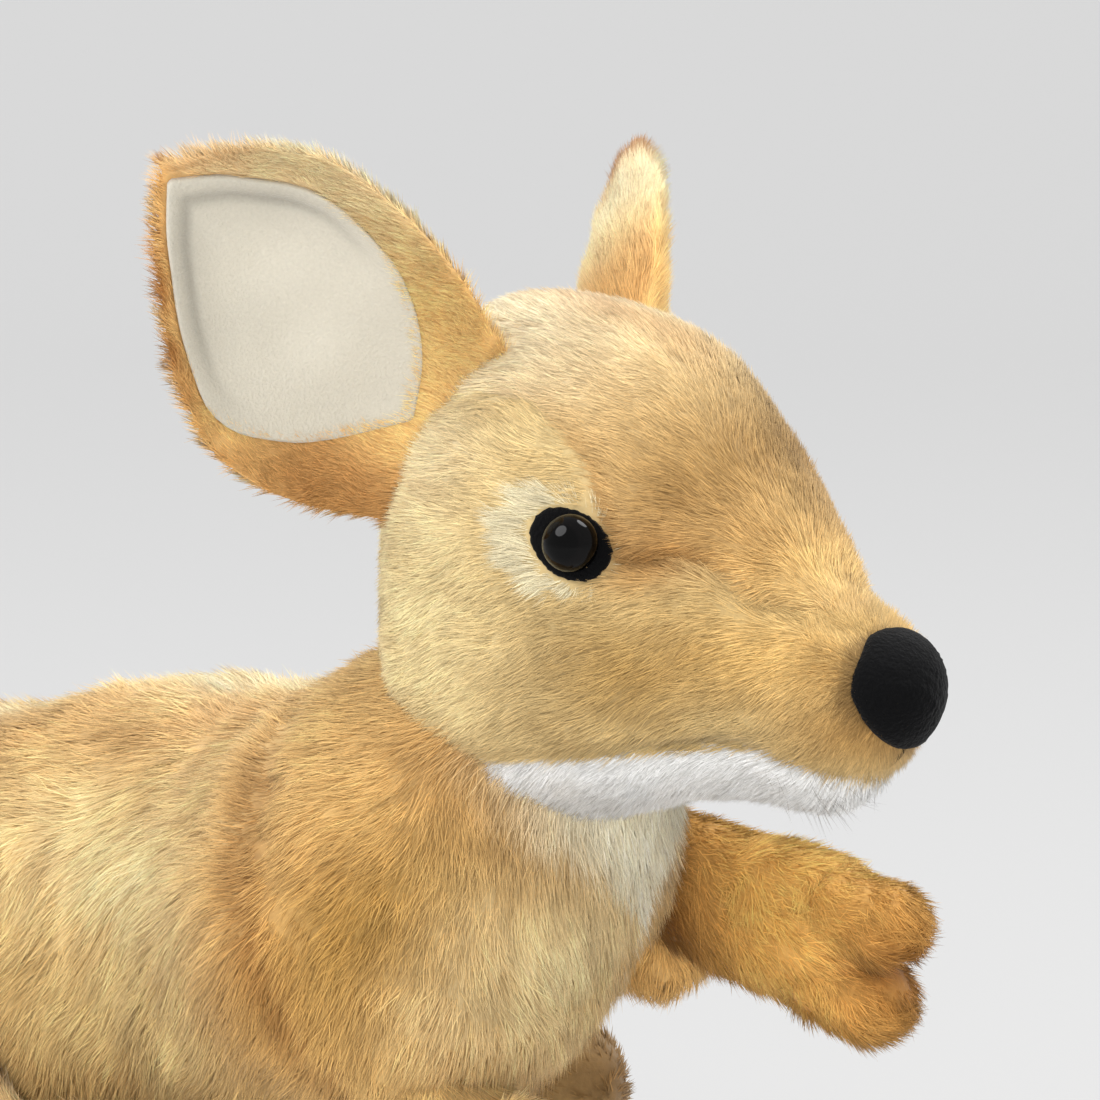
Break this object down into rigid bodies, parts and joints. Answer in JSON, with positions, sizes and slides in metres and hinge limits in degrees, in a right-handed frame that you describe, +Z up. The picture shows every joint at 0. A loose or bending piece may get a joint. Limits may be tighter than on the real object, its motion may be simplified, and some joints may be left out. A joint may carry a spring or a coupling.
{
  "type": "plush kangaroo",
  "caption": "Stuffed standing kangaroo with a turning and nodding head, folding ears, swinging arms and hind legs, and a wagging tail, sewn from long tan plush.",
  "frame": {"origin": "on the floor, under the middle of the toy's box", "axes": "+X to the nose, +Y to the animal's left, +Z up"},
  "size_m": [0.4928, 0.17, 0.2717],
  "materials": {
    "tan_plush": "long pile plush, golden tan with darker roots",
    "cream_plush": "long pile plush, cream",
    "white_plush": "long pile plush, white",
    "ear_lining": "short pile velour, cream",
    "black_felt": "short matte felt, black",
    "eye_plastic": "polished, black",
    "washer_plastic": "moulded, natural white",
    "filling": "polyester fibre, white"
  },
  "bodies": {
    "trunk": {"trunk_filling": "filling", "belly_panel": "cream_plush", "flank_left": "tan_plush", "flank_right": "tan_plush", "shoulder_left": "tan_plush", "shoulder_right": "tan_plush"},
    "neck": {"neck_filling": "filling", "neck_collar": "tan_plush"},
    "head": {"head_filling": "filling", "head_gusset": "tan_plush", "cheek_left": "tan_plush", "cheek_right": "tan_plush", "chin_panel": "white_plush", "nose_pad": "black_felt", "mouth_stitch": "black_felt", "eye_left": "eye_plastic", "eye_washer_left": "washer_plastic", "eye_rim_left": "black_felt", "eye_patch_left": "cream_plush", "eye_right": "eye_plastic", "eye_washer_right": "washer_plastic", "eye_rim_right": "black_felt", "eye_patch_right": "cream_plush"},
    "ear_left": {"ear_back_left": "tan_plush", "ear_lining_left": "ear_lining"},
    "ear_right": {"ear_back_right": "tan_plush", "ear_lining_right": "ear_lining"},
    "arm_left": {"arm_filling_left": "filling", "arm_sleeve_left": "tan_plush"},
    "arm_right": {"arm_filling_right": "filling", "arm_sleeve_right": "tan_plush"},
    "leg_left": {"haunch_filling_left": "filling", "haunch_cover_left": "tan_plush", "foot_filling_left": "filling", "foot_upper_left": "tan_plush", "foot_sole_left": "cream_plush"},
    "leg_right": {"haunch_filling_right": "filling", "haunch_cover_right": "tan_plush", "foot_filling_right": "filling", "foot_upper_right": "tan_plush", "foot_sole_right": "cream_plush"},
    "tail": {"tail_filling": "filling", "tail_cover": "tan_plush"}
  },
  "joints": [
    {"name": "head_turn", "type": "hinge", "parent": "trunk", "child": "neck", "pos_m": [0.13356, 0, 0.135], "axis": [0.6428, 0, 0.766], "range_deg": [-25, 25], "stiffness_Nm_per_rad": 3},
    {"name": "head_nod", "type": "hinge", "parent": "neck", "child": "head", "pos_m": [0.13356, 0, 0.135], "axis": [0, 1, 0], "range_deg": [-12, 12], "stiffness_Nm_per_rad": 4},
    {"name": "ear_fold_left", "type": "hinge", "parent": "head", "child": "ear_left", "pos_m": [0.1519, 0.03174, 0.21304], "axis": [0.4049, -0.5399, 0.7379], "range_deg": [-25, 12], "stiffness_Nm_per_rad": 0.15},
    {"name": "ear_fold_right", "type": "hinge", "parent": "head", "child": "ear_right", "pos_m": [0.1519, -0.03174, 0.21304], "axis": [-0.601, -0.3677, -0.7097], "range_deg": [-25, 12], "stiffness_Nm_per_rad": 0.15},
    {"name": "arm_swing_left", "type": "hinge", "parent": "trunk", "child": "arm_left", "pos_m": [0.13656, 0.036, 0.118], "axis": [0, 1, 0], "range_deg": [-12, 20], "stiffness_Nm_per_rad": 0.8},
    {"name": "arm_swing_right", "type": "hinge", "parent": "trunk", "child": "arm_right", "pos_m": [0.13656, -0.036, 0.118], "axis": [0, 1, 0], "range_deg": [-34, 8], "stiffness_Nm_per_rad": 0.8},
    {"name": "hip_swing_left", "type": "hinge", "parent": "trunk", "child": "leg_left", "pos_m": [-0.00144, 0.046, 0.084], "axis": [0, 1, 0], "range_deg": [-4, 20], "stiffness_Nm_per_rad": 8},
    {"name": "hip_swing_right", "type": "hinge", "parent": "trunk", "child": "leg_right", "pos_m": [-0.00144, -0.046, 0.084], "axis": [0, 1, 0], "range_deg": [-4, 20], "stiffness_Nm_per_rad": 8},
    {"name": "tail_wag", "type": "hinge", "parent": "trunk", "child": "tail", "pos_m": [-0.07744, 0, 0.082], "axis": [0, 0, 1], "range_deg": [-25, 25], "stiffness_Nm_per_rad": 0.8}
  ]
}
